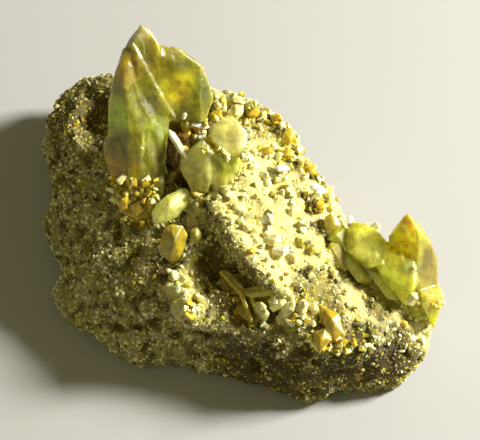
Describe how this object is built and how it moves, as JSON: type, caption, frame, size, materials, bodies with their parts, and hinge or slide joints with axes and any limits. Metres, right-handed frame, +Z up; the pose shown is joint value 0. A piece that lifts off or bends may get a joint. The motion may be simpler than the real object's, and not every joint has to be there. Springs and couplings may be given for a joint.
{
  "type": "titanite crystal specimen",
  "caption": "Hand specimen of blade and wedge-shaped titanite crystals, grown on a loose piece of sugary granular rock with a flat base.",
  "frame": {"origin": "middle of the footprint box, on the plane that the rock rests on", "axes": "+Z up, +X to the right along the longest side, -Y towards the front, the side that the picture was taken from"},
  "size_m": [0.0482, 0.042, 0.0275],
  "materials": {
    "rock": "matte",
    "green": "gloss",
    "olive": "gloss",
    "amber": "gloss",
    "cream": "satin",
    "brown": "satin"
  },
  "bodies": {
    "root": {"matrix": "rock", "tall_twin": "green", "middle_crystals": "olive", "small_blade": "green", "lower_crystal": "olive", "round_crystal": "olive", "right_crystals": "green", "saddle_crystal": "olive", "ledge_crystals": "amber", "ridge_crystal_1": "amber", "ridge_crystal_2": "cream", "ridge_crystal_3": "amber", "ridge_crystal_4": "amber", "ridge_crystal_5": "amber", "ridge_crystal_6": "amber", "ridge_crystal_7": "amber", "ridge_crystal_8": "cream", "ridge_crystal_9": "amber", "ridge_crystal_10": "cream", "ridge_crystal_11": "amber", "cavity_crust": "brown", "hollow_crust": "amber", "foot_crust": "amber"}
  },
  "joints": []
}
